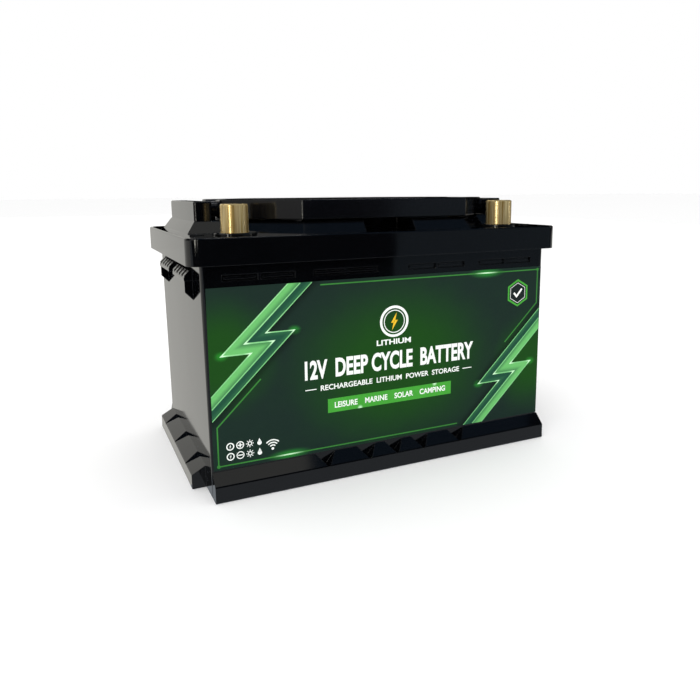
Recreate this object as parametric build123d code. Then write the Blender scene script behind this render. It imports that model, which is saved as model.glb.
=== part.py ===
from build123d import *
import os
from math import cos, radians, sin, tan

# ---------------------------------------------------------------- driving dimensions (mm)
# Origin: middle of the footprint, on the surface it stands on. +X along the length,
# -Y is the labelled side, +Z up.

# overall size of the case
case_length = 278.0
case_width = 175.0
case_height = 190.0

# container
end_overhang = 8.0             # of lid and ledges past the container's rim, at each end
side_overhang = 6.5
body_corner_radius = 4.0
body_draft = 0.5               # degrees, narrower towards the base
container_wall = 3.0
container_floor = 4.0

# hold-down ledges round the base
side_ledge_face = 11.0         # height of the upright face
side_ledge_top = 18.0          # where the slope meets the wall
end_ledge_face = 10.0
end_ledge_top = 15.0
end_ledge_front = -58.0        # the end ledges stop short of the front corner
end_ledge_rear = 77.0
side_notches = (-52.5, -21.5, 0.0, 21.5, 52.5)
side_notch_half_width = 7.2
side_notch_floor = 9.8
end_notch_pitch = 45.0
end_notch_half_width = 5.2
end_notch_floor = 8.8
ledge_edge = 0.5               # small chamfer on the ledges' outer edges

# recessed slots under the lid
slot_height = 3.6
slot_below_rim = 20.0
slot_depth = 1.6
slot_edge = 0.35               # chamfer round each recess
slot_bar_height = 1.5          # bar that stands in each recess
slot_bar_gap = 1.3             # from the bar to the ends of the recess
slot_bar_depth = 0.5           # how far its face lies below the wall
slot_spans = ((12.0, 34.0), (36.0, 58.0), (71.0, 93.5), (95.5, 118.0))

# hand grips on the short sides
grip_half_length = 53.0
grip_gap = 18.0
grip_reach = 5.4
grip_below_rim = 16.2          # from the rim to the top of the sloping rail
grip_lip = 2.0
grip_rail_thickness = 2.2
grip_end_thickness = 3.0
grip_end_height = 20.3
grip_end_step = 0.6            # the lip stands this far proud of each end cheek
grip_ribs = 5
grip_rib_width = 4.6
grip_rib_height = 0.8

# lid
skirt_height = 17.0
skirt_wall = 2.5
skirt_corner_radius = 10.0
deck_thickness = 3.5
deck_height = 168.0            # top of the flat deck
tier_height = 8.0              # raised lower tier above the deck
tier_flare = 6.0               # how far its sides spread towards the deck
tier_roof = 3.0
tier_edge = 0.6
locating_rib_height = 4.0
locating_rib_thickness = 2.0
locating_clearance = 0.4
locating_rib_corner = 1.5
seal_height = 2.0
seal_inset = 0.3               # inside the outer face of the container's rim
edge_radius = 1.2

# end blocks of the lid, which carry the handle pivots
block_inner = 112.0
block_outer = 124.0
block_front = -33.0
block_rear = 62.0
block_wall = 2.5
block_drop = 1.0               # the blocks stand this much lower than the handles

# carry handles
grip_bar_half = 62.5           # straight front bar
grip_bar_front = 75.5
grip_bar_depth = 16.0
bar_inner_step = 5.0           # the bar's inner edge is this much shorter at each end
arm_outer = 106.0
arm_width = 10.0
arm_bend = 30.0                # where the slanting arm turns straight back
arm_inner_bend = 38.0
pivot_offset = 20.0            # pivot line from the middle of the lid
handle_thickness = 13.0
handle_gap = 1.0               # above the lower tier
handle_edge_radius = 0.9
handle_edge_chamfer = 0.5
handle_bend_radius = 3.0
tier_inset = 2.5               # the handle overhangs the lower tier by this much
hub_radius = 6.3
shoulder_radius = 5.2
shoulder_gap = 0.5
pivot_radius = 3.5
pivot_clearance = 0.06
pivot_reach = 3.6              # past the inner face of the end block
pivot_end_gap = 0.6
bar_channel_width = 10.0
bar_channel_depth = 7.0
bar_channel_end = 8.0          # solid length left at each end of the bar
bar_rib_thickness = 1.8
bar_rib_pitch = 20
bar_rib_lift = 1.5             # ribs start this much above the bar's underside
bar_rib_root = 0.5
finger_half_width = 19.0
finger_back = 50.0

# top cover between the handles
cover_gap = 1.0
cover_wall = 2.5
cover_groove = 0.8
cover_panel = (150.0, 70.0, 6.0)     # grooved rectangle: length, width, corner radius
cover_groove_width = 1.5
cover_slot = (44.0, 3.0)
cover_slot_pitch = 12
cover_slot_reach = 60

# terminals
post_x = 103.5
post_y = -59.0
negative_post_radius = 8.95
positive_post_radius = 9.75
post_top = 187.6
post_chamfer = 0.8
shank_radius = 5.0
shank_bottom = 150.5
shank_clearance = 0.1
collar_radius = 14.2
collar_thickness = 1.5
post_flange = 0.6              # the post's foot is this much wider, up to the collar's top
collar_gap = 0.1
seal_ring_height = 1.0
mark_size = 9.0
mark_bar = 2.2
mark_height = 0.5
mark_x = 128.0

# printed label
label_width = 257.0
label_bottom = 19.0
label_top = 137.0
label_thickness = 0.35
label_corner = 0.3

# cells
cell_count = 4
cell_length = 200.5
cell_thickness = 36.3
cell_height = 130.0
cell_corner = 2.0
cell_stud_x = 86.0
cell_pad_radius = 9.0
cell_pad_height = 1.5
stud_radius = 3.0
stud_length = 9.5
stud_clearance = 0.2
spacer_thickness = 0.5
end_plate_thickness = 1.5
stack_clearance = 0.1
strap_thickness = 0.6
strap_width = 16.0
strap_levels = (40.0, 105.0)
base_pad_thickness = 3.0
foam_clearance = 0.6

# links and cables
link_width = 20.0
link_thickness = 2.0
nut_flats = 10.0
nut_height = 5.0
cable_radius = 4.0
lug_width = 15.0
lug_neck = 4.0
lug_wall = 1.2
lug_blind = 3.0                # from the start of the barrel to the end of the cable
lug_barrel_length = 12.0
cable_fit = 0.05
washer_thickness = 1.5
washer_radius = 10.5
post_nut_flats = 16.0
post_nut_height = 8.0
wire_radius = 0.9
wire_fit = 0.15

# battery management electronics
tray_length = 132.0
tray_width = 66.0
tray_center_y = 14.0
tray_level = 149.0
tray_thickness = 1.5
tray_leg = 6.0
sink_length = 118.0
sink_width = 58.0
sink_base = 2.5
sink_fin_height = 2.0
sink_fins = 12
board_length = 110.0
board_width = 54.0
board_thickness = 1.6
spacer_hex = 5.5
board_standoff = 5.0
screw_head_radius = 2.6
plug_offset = 21.0
plug_first_x = 16.6
plug_pitch = 3.2
plug_height = 6.0
plug_blind = 3.0
board_hole_edge = 5.0
board_hole_radius = 1.4
screw_radius = 1.25
spacer_bore = 1.3
sink_fin_half_length = 30.0
sink_fin_thickness = 1.2
sink_fin_margin = 20.0
radio_size = (18.0, 12.0, 2.4)
radio_place = (-21.0, 19.0)    # from the middle of the board
# components on the board: low and high X, low and high Y from its middle, height
transistor_pitch = 9.0
transistor_block = (7.0, 10.0, 2.2)
transistor_first = (-36.0, -12.0)
transistor_count = 8
board_components = (
    (-44.0, -38.0, 2.0, 14.0, 1.6),
    (-8.0, 2.0, 4.0, 14.0, 1.2),
    (8.0, 14.0, 6.0, 12.0, 2.6),
    (18.0, 30.0, 3.0, 9.0, 1.8),
    (37.0, 43.0, -24.0, -19.0, 3.6),
)

# temperature sensor on the cells
sensor_x, sensor_y = 20.0, -50.0
sensor_size = (9.0, 5.0, 3.0)

# ---------------------------------------------------------------- derived levels and places
skirt_bottom = deck_height - skirt_height
deck_under = deck_height - deck_thickness
rim_height = deck_under - seal_height
tier_top = deck_height + tier_height
handle_bottom = tier_top + handle_gap
pivot_z = handle_bottom + handle_thickness / 2
block_top = case_height - block_drop
body_length = case_length - 2 * end_overhang      # at the rim
body_width = case_width - 2 * side_overhang
skirt_half_x = case_length / 2
skirt_half_y = case_width / 2
cell_floor = container_floor + base_pad_thickness
cell_top = cell_floor + cell_height
cell_pitch = cell_thickness + spacer_thickness
stack_half = (cell_count * cell_thickness + (cell_count - 1) * spacer_thickness) / 2
link_level = cell_top + cell_pad_height
nut_level = link_level + link_thickness
draft_run = tan(radians(body_draft))


def cell_y(index):
    return (index - (cell_count - 1) / 2) * cell_pitch


def wall_half_x(z):
    """Half length of the container outside at height z."""
    return body_length / 2 - (rim_height - z) * draft_run


def wall_half_y(z):
    """Half width of the container outside at height z."""
    return body_width / 2 - (rim_height - z) * draft_run


def save(node, shape):
    if isinstance(shape, (list, tuple)):
        shape = Compound(children=list(shape))
    export_step(shape, f"parts/{node}.step")


def block(x0, x1, y0, y1, z0, z1):
    """Box between two corners."""
    size = (x1 - x0, y1 - y0, z1 - z0)
    return Pos((x0 + x1) / 2, (y0 + y1) / 2, (z0 + z1) / 2) * Box(*size)


def rod(radius, x, y, z0, z1):
    return Pos(x, y, (z0 + z1) / 2) * Cylinder(radius, z1 - z0)


def rod_x(radius, x0, x1, y, z):
    return Pos((x0 + x1) / 2, y, z) * Rot(0, 90, 0) * Cylinder(radius, x1 - x0)


def slab(points, z0, z1):
    """Upright prism over an outline in plan."""
    return Pos(0, 0, z0) * extrude(make_face(Polyline(*points, close=True)), z1 - z0)


def along_x(profile, x0, x1):
    """Prism along X over a (y, z) profile."""
    face = make_face(Polyline(*[(0, y, z) for y, z in profile], close=True))
    return Pos(x0, 0, 0) * extrude(face, x1 - x0, dir=(1, 0, 0))


def along_y(profile, y0, y1):
    """Prism along Y over an (x, z) profile."""
    face = make_face(Polyline(*[(x, 0, z) for x, z in profile], close=True))
    return Pos(0, y0, 0) * extrude(face, y1 - y0, dir=(0, 1, 0))


def rounded_plate(length, width, radius, z0, z1):
    return Pos(0, 0, z0) * extrude(RectangleRounded(length, width, radius), z1 - z0)


# ---------------------------------------------------------------- container
def drafted_block(inset, z0, z1):
    """The container's tapering block, inset from the outside, between two levels."""
    length = 2 * (wall_half_x(z1) - inset)
    width = 2 * (wall_half_y(z1) - inset)
    radius = max(body_corner_radius - inset, 1.5)
    outline = RectangleRounded(length, width, radius)
    return Pos(0, 0, z1) * extrude(outline, z1 - z0, dir=(0, 0, -1), taper=body_draft)


def side_ledge():
    """Front hold-down ledge with its V notches."""
    half = wall_half_x(0)
    root = wall_half_y(side_ledge_top) - 1.0
    profile = [
        (-root, 0),
        (-skirt_half_y + ledge_edge, 0),
        (-skirt_half_y, ledge_edge),
        (-skirt_half_y, side_ledge_face - ledge_edge),
        (-skirt_half_y + ledge_edge, side_ledge_face + ledge_edge / 2),
        (-wall_half_y(side_ledge_top), side_ledge_top),
        (-root, side_ledge_top),
    ]
    ledge = along_x(profile, -half, half)
    for x in side_notches:
        rise = side_ledge_top - side_notch_floor
        reach = side_notch_half_width * (rise + 1) / rise
        notch = [(x, side_notch_floor), (x + reach, side_ledge_top + 1), (x - reach, side_ledge_top + 1)]
        ledge -= along_y(notch, -skirt_half_y - 1, -wall_half_y(side_ledge_top))
    return ledge


def end_ledge():
    """Hold-down ledge of the +X end with its V notches."""
    root = wall_half_x(end_ledge_top) - 1.0
    profile = [
        (root, 0),
        (skirt_half_x - ledge_edge, 0),
        (skirt_half_x, ledge_edge),
        (skirt_half_x, end_ledge_face - ledge_edge),
        (skirt_half_x - ledge_edge, end_ledge_face + ledge_edge / 4),
        (wall_half_x(end_ledge_top), end_ledge_top),
        (root, end_ledge_top),
    ]
    ledge = along_y(profile, end_ledge_front, end_ledge_rear)
    middle = (end_ledge_front + end_ledge_rear) / 2
    for step in (-1, 0, 1):
        y = middle + step * end_notch_pitch
        rise = end_ledge_top - end_notch_floor
        reach = end_notch_half_width * (rise + 1) / rise
        notch = [(y, end_notch_floor), (y + reach, end_ledge_top + 1), (y - reach, end_ledge_top + 1)]
        ledge -= along_x(notch, wall_half_x(end_ledge_top), skirt_half_x + 1)
    return ledge


def hand_grip():
    """Ribbed sloping rail in two lengths, with an end cheek at each end, on the +X side."""
    top = rim_height - grip_below_rim
    face = wall_half_x(top)
    root = face - 1.0
    tip = face + grip_reach
    lip_top = top - grip_reach
    lip_bottom = lip_top - grip_lip
    rail = [
        (root, top + 1.0),
        (tip, lip_top),
        (tip, lip_bottom),
        (tip - grip_rail_thickness, lip_bottom),
        (root, top - grip_rail_thickness * 1.5),
    ]
    cheek = [
        (root, top + 1.0),
        (tip, lip_top),
        (tip, lip_bottom),
        (tip - 0.4, lip_bottom),
        (tip - 0.4, top - grip_end_height + grip_reach),
        (face - 0.2, top - grip_end_height),
        (root, top - grip_end_height),
    ]
    lift = grip_rib_height / cos(radians(45))
    rib = [
        (root, top + 1.0 + lift),
        (tip - 0.3, lip_top + 0.3 + lift),
        (tip - 0.3, lip_top),
        (root, top - 0.5),
    ]
    lip = [
        (root, top + 1.0),
        (tip, lip_top),
        (tip, lip_bottom),
        (root, lip_bottom),
    ]
    grip = None
    for side in (-1, 1):
        inner = side * grip_gap / 2
        outer = side * grip_half_length
        low, high = min(inner, outer), max(inner, outer)
        part = along_y(rail, low, high)
        cheek_middle = outer - side * (grip_end_step + grip_end_thickness / 2)
        part += along_y(cheek, cheek_middle - grip_end_thickness / 2, cheek_middle + grip_end_thickness / 2)
        lip_inner = outer - side * grip_end_thickness
        part += along_y(lip, min(outer, lip_inner), max(outer, lip_inner))
        pitch = (high - low - grip_rib_width) / (grip_ribs - 1)
        for index in range(grip_ribs):
            start = low + index * pitch
            part += along_y(rib, start, start + grip_rib_width)
        grip = part if grip is None else grip + part
    return grip


def slot_places():
    """Low and high X of every recess under the rim."""
    return [sorted((side * near, side * far)) for near, far in slot_spans for side in (-1, 1)]


def slot_recess(x0, x1):
    """Shallow recess in the -Y side, with a chamfered edge and a bar standing in it."""
    level = rim_height - slot_below_rim
    face = -wall_half_y(level)
    middle = (x0 + x1) / 2
    length = x1 - x0
    recess = block(x0, x1, face - 1, face + slot_depth, level - slot_height / 2, level + slot_height / 2)
    opening = Plane(origin=(middle, face - slot_edge, level), x_dir=(1, 0, 0), z_dir=(0, 1, 0))
    edge = RectangleRounded(length + 4 * slot_edge, slot_height + 4 * slot_edge, slot_edge)
    recess += extrude(opening * edge, 2 * slot_edge, taper=45)
    bar = block(
        x0 + slot_bar_gap,
        x1 - slot_bar_gap,
        face + slot_bar_depth,
        face + slot_depth + 1,
        level - slot_bar_height / 2,
        level + slot_bar_height / 2,
    )
    return recess - bar


def container():
    shell = drafted_block(0, 0, rim_height)
    for piece in (side_ledge(), end_ledge(), hand_grip()):
        shell += piece
    shell += mirror(side_ledge(), Plane.XZ)
    shell += mirror(end_ledge(), Plane.YZ)
    shell += mirror(hand_grip(), Plane.YZ)
    for x0, x1 in slot_places():
        recess = slot_recess(x0, x1)
        shell -= recess
        shell -= mirror(recess, Plane.XZ)
    shell -= drafted_block(container_wall, container_floor, rim_height + 1)
    return shell


# ---------------------------------------------------------------- handles
# plan of the front handle, right half, outside then inside
slant_x = arm_outer - grip_bar_half
slant_y = grip_bar_front - arm_bend
slant_length = (slant_x ** 2 + slant_y ** 2) ** 0.5
slant_normal = (-slant_y / slant_length, slant_x / slant_length)
bar_back = grip_bar_front - grip_bar_depth
inner_bar_half = grip_bar_half - bar_inner_step


def handle_outline():
    right = [
        (grip_bar_half, -grip_bar_front),
        (arm_outer, -arm_bend),
        (arm_outer, -pivot_offset),
        (arm_outer - arm_width, -pivot_offset),
        (arm_outer - arm_width, -arm_inner_bend),
        (inner_bar_half, -bar_back),
    ]
    left = [(-x, y) for x, y in reversed(right)]
    return right + left


def front_handle():
    body = slab(handle_outline(), handle_bottom, case_height)
    upright = [edge for edge in body.edges().filter_by(Axis.Z) if abs(edge.center().Y) > arm_bend - 1]
    body = fillet(upright, handle_bend_radius)
    body = fillet(body.faces().sort_by(Axis.Z)[-1].edges(), handle_edge_radius)
    body = chamfer(body.faces().sort_by(Axis.Z)[0].edges(), handle_edge_chamfer)
    bar_middle = -(grip_bar_front + bar_back) / 2
    body -= block(
        -grip_bar_half + bar_channel_end,
        grip_bar_half - bar_channel_end,
        bar_middle - bar_channel_width / 2,
        bar_middle + bar_channel_width / 2,
        handle_bottom - 1,
        handle_bottom + bar_channel_depth,
    )
    for x in range(-2 * bar_rib_pitch, 2 * bar_rib_pitch + 1, bar_rib_pitch):
        body += block(
            x - bar_rib_thickness / 2,
            x + bar_rib_thickness / 2,
            bar_middle - bar_channel_width / 2 - bar_rib_root,
            bar_middle + bar_channel_width / 2 + bar_rib_root,
            handle_bottom + bar_rib_lift,
            handle_bottom + bar_channel_depth + bar_rib_root,
        )
    for side in (-1, 1):
        hub0, hub1 = sorted((side * (arm_outer - arm_width), side * arm_outer))
        body += rod_x(hub_radius, hub0, hub1, -pivot_offset, pivot_z)
        shoulder0, shoulder1 = sorted((side * (arm_outer - 1), side * (block_inner - shoulder_gap)))
        body += rod_x(shoulder_radius, shoulder0, shoulder1, -pivot_offset, pivot_z)
        pin0, pin1 = sorted((side * (arm_outer - 1), side * (block_inner + pivot_reach)))
        body += rod_x(pivot_radius, pin0, pin1, -pivot_offset, pivot_z)
    return body


# ---------------------------------------------------------------- lid
tier_front = grip_bar_front - tier_inset


def tier_outline(grow):
    """Plan of the lower tier, grown outwards by a distance."""
    front = -tier_front - grow
    blocks = block_front - grow
    shift = grow - tier_inset
    base_x = grip_bar_half - slant_normal[0] * shift
    base_y = -grip_bar_front - slant_normal[1] * shift

    def slant_at(y):
        return base_x + (y - base_y) * slant_x / slant_y

    side = block_outer + grow
    chamfer = grow * tan(radians(22.5))
    right = [
        (slant_at(front), front),
        (slant_at(blocks), blocks),
        (side, blocks),
        (side, block_rear + chamfer),
        (block_inner + chamfer, tier_front + grow),
    ]
    return right + [(-x, y) for x, y in reversed(right)]


def wire_at(points, z):
    return Polyline(*[(x, y, z) for x, y in points], close=True)


def flared_tier(grow_low, z_low, grow_high, z_high):
    low = make_face(wire_at(tier_outline(grow_low), z_low))
    high = make_face(wire_at(tier_outline(grow_high), z_high))
    return loft([low, high], ruled=True)


def finger_recess(grow, floor):
    """Room under the middle of a handle bar for the fingers."""
    return block(
        -finger_half_width - grow,
        finger_half_width + grow,
        -skirt_half_y + 2,
        -finger_back + grow,
        floor,
        tier_top + 1,
    )


def polarity_mark(x, positive):
    mark = block(x - mark_size / 2, x + mark_size / 2, post_y - mark_bar / 2, post_y + mark_bar / 2,
                 deck_height - 0.5, deck_height + mark_height)
    if positive:
        mark += block(x - mark_bar / 2, x + mark_bar / 2, post_y - mark_size / 2, post_y + mark_size / 2,
                      deck_height - 0.5, deck_height + mark_height)
    return mark


def lid():
    body = rounded_plate(case_length, case_width, skirt_corner_radius, skirt_bottom, deck_height)
    body = fillet(body.faces().sort_by(Axis.Z)[-1].edges(), edge_radius)
    tier = flared_tier(tier_flare * (tier_height + 1) / tier_height, deck_height - 1, 0, tier_top)
    body += chamfer(tier.faces().sort_by(Axis.Z)[-1].edges(), tier_edge)
    for side in (-1, 1):
        x0, x1 = sorted((side * block_inner, side * block_outer))
        upper = block(x0, x1, block_front, block_rear, tier_top - 1, block_top)
        upper = fillet(upper.edges().filter_by(Axis.Z), 2.0)
        upper = fillet(upper.faces().sort_by(Axis.Z)[-1].edges(), 1.0)
        body += upper
    body -= finger_recess(0, deck_height)
    body -= mirror(finger_recess(0, deck_height), Plane.XZ)
    # hollow underside: skirt, raised tier and end blocks
    hollow = rounded_plate(
        case_length - 2 * skirt_wall,
        case_width - 2 * skirt_wall,
        skirt_corner_radius - skirt_wall,
        skirt_bottom - 1,
        deck_under,
    )
    roof = tier_top - tier_roof
    pocket = flared_tier(-tier_roof + 2, deck_under - 1, -tier_roof, roof)
    pocket -= finger_recess(tier_roof, deck_under - 2)
    pocket -= mirror(finger_recess(tier_roof, deck_under - 2), Plane.XZ)
    body -= hollow
    body -= pocket
    for side in (-1, 1):
        x0, x1 = sorted((side * (block_inner + block_wall), side * (block_outer - block_wall)))
        y0, y1 = block_front + block_wall, block_rear - block_wall
        body -= block(x0, x1, y0, y1, roof - 1, block_top - block_wall)
        bore0, bore1 = sorted((side * (block_inner - 1), side * (block_inner + pivot_reach + pivot_end_gap)))
        for y in (-pivot_offset, pivot_offset):
            body -= rod_x(pivot_radius + pivot_clearance, bore0, bore1, y, pivot_z)
        body -= rod(shank_radius + shank_clearance, side * post_x, post_y, deck_under - 1, deck_height + 1)
    # rib that locates the lid inside the container
    inner_x = 2 * (wall_half_x(rim_height) - container_wall - locating_clearance)
    inner_y = 2 * (wall_half_y(rim_height) - container_wall - locating_clearance)
    rib_bottom = rim_height - locating_rib_height
    rib = rounded_plate(inner_x, inner_y, locating_rib_corner, rib_bottom, deck_under + 0.5)
    rib -= rounded_plate(
        inner_x - 2 * locating_rib_thickness,
        inner_y - 2 * locating_rib_thickness,
        locating_rib_corner / 2,
        rib_bottom - 1,
        deck_under + 1,
    )
    body += rib
    body += polarity_mark(-mark_x, False)
    body += polarity_mark(mark_x, True)
    return body


def lid_seal():
    length = body_length - 2 * seal_inset
    width = body_width - 2 * seal_inset
    outer = rounded_plate(length, width, body_corner_radius - seal_inset, rim_height, deck_under)
    inner_x = body_length - 2 * container_wall + 0.2
    inner_y = body_width - 2 * container_wall + 0.2
    return outer - rounded_plate(inner_x, inner_y, 1.6, rim_height - 1, deck_under + 1)


def cover_outline(inset):
    """Plan between the two handles, kept clear of them by the cover gap."""
    gap = cover_gap + inset
    side = arm_outer - arm_width - gap
    back = bar_back - gap
    run_x = (arm_outer - arm_width) - inner_bar_half
    run_y = bar_back - arm_inner_bend
    length = (run_x ** 2 + run_y ** 2) ** 0.5
    corner_x = inner_bar_half - gap * (length - run_x) / run_y
    bend_y = arm_inner_bend - gap * (length - run_y) / run_x
    right = [(corner_x, -back), (side, -bend_y), (side, bend_y), (corner_x, back)]
    return right + [(-x, y) for x, y in reversed(right)]


def top_cover():
    body = slab(cover_outline(0), tier_top, case_height)
    body = fillet(body.edges().filter_by(Axis.Z), 2.0)
    body = fillet(body.faces().sort_by(Axis.Z)[-1].edges(), edge_radius)
    body -= slab(cover_outline(cover_wall), tier_top - 1, case_height - cover_wall)
    for grip in (finger_recess(0, tier_top - 1), mirror(finger_recess(0, tier_top - 1), Plane.XZ)):
        body -= grip
    length, width, radius = cover_panel
    groove = RectangleRounded(length, width, radius)
    inside = 2 * cover_groove_width
    groove -= RectangleRounded(length - inside, width - inside, radius - cover_groove_width)
    groove_floor = case_height - cover_groove
    body -= Pos(0, 0, groove_floor) * extrude(groove, 2)
    slot = extrude(SlotOverall(*cover_slot, rotation=90), 2)
    for x in range(-cover_slot_reach, cover_slot_reach + 1, cover_slot_pitch):
        body -= Pos(x, 0, groove_floor) * slot
    return body


# ---------------------------------------------------------------- terminals
def terminal_post(x, radius):
    foot = deck_height + seal_ring_height
    post = rod(radius, x, post_y, foot, post_top)
    post = chamfer(post.faces().sort_by(Axis.Z)[-1].edges(), post_chamfer)
    post += rod(radius + post_flange, x, post_y, foot, deck_height + collar_thickness)
    return post + rod(shank_radius, x, post_y, shank_bottom, foot + 1)


def terminal_collar(x, radius):
    collar = rod(collar_radius, x, post_y, deck_height, deck_height + collar_thickness)
    collar = chamfer(collar.faces().sort_by(Axis.Z)[-1].edges(), 0.6)
    bore = radius + post_flange + collar_gap
    return collar - rod(bore, x, post_y, deck_height - 1, deck_height + collar_thickness + 1)


def post_seal(x, radius):
    ring = rod(radius - 0.3, x, post_y, deck_height, deck_height + seal_ring_height)
    return ring - rod(shank_radius + shank_clearance, x, post_y, deck_height - 1, deck_height + 3)


washer_bottom = deck_under - washer_thickness
post_lug_bottom = washer_bottom - link_thickness
post_nut_bottom = post_lug_bottom - post_nut_height


def post_washer(x):
    ring = rod(washer_radius, x, post_y, washer_bottom, deck_under)
    return ring - rod(shank_radius + shank_clearance, x, post_y, washer_bottom - 1, deck_under + 1)


def hex_nut(flats, bore, x, y, z0, z1):
    across = RegularPolygon(flats / 2, 6, major_radius=False)
    nut = Pos(x, y, z0) * extrude(across, z1 - z0)
    return nut - rod(bore, x, y, z0 - 1, z1 + 1)


# ---------------------------------------------------------------- label
def front_label():
    height = label_top - label_bottom
    outline = RectangleRounded(label_width, height / cos(radians(body_draft)), label_corner)
    middle = (label_top + label_bottom) / 2
    plane = Plane(
        origin=(0, -wall_half_y(middle), middle),
        x_dir=(1, 0, 0),
        z_dir=(0, -cos(radians(body_draft)), -sin(radians(body_draft))),
    )
    return extrude(plane * outline, label_thickness)


# ---------------------------------------------------------------- cells and their stack
def cell(index):
    y = cell_y(index)
    can = Pos(0, y, cell_floor + cell_height / 2) * Box(cell_length, cell_thickness, cell_height)
    can = fillet(can.edges().filter_by(Axis.Z), cell_corner)
    for x in (-cell_stud_x, cell_stud_x):
        can += rod(cell_pad_radius, x, y, cell_top - 1, link_level)
        can += rod(stud_radius, x, y, link_level - 1, link_level + stud_length)
    vent = Pos(0, y, cell_top - 0.5) * extrude(SlotOverall(24, 12), 2)
    return can - vent


def cell_spacers():
    sheets = []
    for index in range(cell_count - 1):
        y = (cell_y(index) + cell_y(index + 1)) / 2
        half = spacer_thickness / 2
        sheets.append(block(-cell_length / 2, cell_length / 2, y - half, y + half, cell_floor, cell_top - 1))
    return sheets


def end_plate(side):
    inner = stack_half + stack_clearance
    y0, y1 = sorted((side * inner, side * (inner + end_plate_thickness)))
    return block(-cell_length / 2, cell_length / 2, y0, y1, cell_floor, cell_top - 2)


def strap(level):
    half_x = cell_length / 2 + stack_clearance
    half_y = stack_half + 2 * stack_clearance + end_plate_thickness
    z0, z1 = level - strap_width / 2, level + strap_width / 2
    grow = 2 * strap_thickness
    outer = rounded_plate(2 * half_x + grow, 2 * half_y + grow, 0.3 + strap_thickness, z0, z1)
    return outer - rounded_plate(2 * half_x, 2 * half_y, 0.3, z0 - 1, z1 + 1)


def base_pad():
    return rounded_plate(cell_length - 4, 2 * stack_half - 4, 3, container_floor, cell_floor)


def end_foam(side):
    inner = cell_length / 2 + stack_clearance + strap_thickness + foam_clearance
    outer = wall_half_x(cell_floor) - container_wall - foam_clearance
    x0, x1 = sorted((side * inner, side * outer))
    return block(x0, x1, -stack_half + 4, stack_half - 4, cell_floor, cell_top - 8)


def series_link(x, first):
    """Busbar that joins a cell to its neighbour."""
    y0, y1 = cell_y(first), cell_y(first + 1)
    overhang = link_width / 2
    link = block(x - link_width / 2, x + link_width / 2, y0 - overhang, y1 + overhang, link_level, nut_level)
    link = fillet(link.edges().filter_by(Axis.Z), 4)
    for y in (y0, y1):
        link -= rod(stud_radius + stud_clearance, x, y, link_level - 1, nut_level + 1)
    return link


def link_nuts():
    nuts = []
    for index in range(cell_count):
        for x in (-cell_stud_x, cell_stud_x):
            bore = stud_radius + 0.05
            nuts.append(hex_nut(nut_flats, bore, x, cell_y(index), nut_level, nut_level + nut_height))
    return nuts


# ---------------------------------------------------------------- electronics
board_level = tray_level + tray_thickness + sink_base + board_standoff
board_top = board_level + board_thickness
hole_x = board_length / 2 - board_hole_edge
hole_y = board_width / 2 - board_hole_edge
board_holes = [(sx * hole_x, tray_center_y + sy * hole_y) for sx in (-1, 1) for sy in (-1, 1)]


def bms_tray():
    middle = Pos(0, tray_center_y, tray_level + tray_thickness / 2)
    tray = middle * Box(tray_length, tray_width, tray_thickness)
    tray = fillet(tray.edges().filter_by(Axis.Z), 3)
    for sx in (-1, 1):
        for sy in (-1, 1):
            x = sx * (tray_length / 2 - tray_leg)
            y = tray_center_y + sy * (tray_width / 2 - tray_leg)
            tray += block(x - tray_leg / 2, x + tray_leg / 2, y - tray_leg / 2, y + tray_leg / 2,
                          cell_top, tray_level + 0.5)
    return tray


def bms_heat_sink():
    base = tray_level + tray_thickness
    sink = Pos(0, tray_center_y, base + sink_base / 2) * Box(sink_length, sink_width, sink_base)
    span = board_width - sink_fin_margin
    top = base + sink_base
    for index in range(sink_fins):
        y = tray_center_y - span / 2 + index * span / (sink_fins - 1)
        sink += block(
            -sink_fin_half_length,
            sink_fin_half_length,
            y - sink_fin_thickness / 2,
            y + sink_fin_thickness / 2,
            top - 0.5,
            top + sink_fin_height,
        )
    return sink


def bms_spacers():
    base = board_level - board_standoff
    return [hex_nut(spacer_hex, spacer_bore, x, y, base, board_level) for x, y in board_holes]


def bms_screws():
    screws = []
    for x, y in board_holes:
        head = rod(screw_head_radius, x, y, board_top, board_top + 1.8)
        head = fillet(head.faces().sort_by(Axis.Z)[-1].edges(), 0.8)
        screws.append(head + rod(screw_radius, x, y, board_level - 3.5, board_top + 0.5))
    return screws


def bms_board():
    middle = Pos(0, tray_center_y, board_level + board_thickness / 2)
    board = middle * Box(board_length, board_width, board_thickness)
    for x, y in board_holes:
        board -= rod(board_hole_radius, x, y, board_level - 1, board_top + 1)
    for x, y in pads:
        board -= rod(stud_radius + 0.05, x, y, board_level - 1, board_top + 1)
    length, width, height = transistor_block
    first_x, first_y = transistor_first
    starts = [first_x + index * transistor_pitch for index in range(transistor_count)]
    transistors = [(x, x + length, first_y, first_y + width, height) for x in starts]
    for x0, x1, y0, y1, height in [*transistors, *board_components]:
        board += block(x0, x1, tray_center_y + y0, tray_center_y + y1, board_top - 0.4, board_top + height)
    return board


def radio_module():
    length, width, height = radio_size
    x, y = radio_place[0], tray_center_y + radio_place[1]
    return block(x - length / 2, x + length / 2, y - width / 2, y + width / 2, board_top, board_top + height)


def balance_connector():
    x0, x1 = plug_x[0] - 2.6, plug_x[-1] + 2.6
    body = block(x0, x1, plug_y - 3, plug_y + 3, board_top, board_top + plug_height)
    for x in plug_x:
        body -= rod(wire_radius + wire_fit, x, plug_y, plug_z, board_top + plug_height + 1)
    return body


# ---------------------------------------------------------------- cables
def run_radii(points):
    """Largest tangent arc that each corner's two runs allow."""
    radii = []
    for before, corner, after in zip(points, points[1:], points[2:]):
        first = Vector(*corner) - Vector(*before)
        second = Vector(*after) - Vector(*corner)
        half_turn = radians(first.get_angle(second)) / 2
        radii.append(0.45 * min(first.length, second.length) / tan(half_turn))
    return radii


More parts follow.
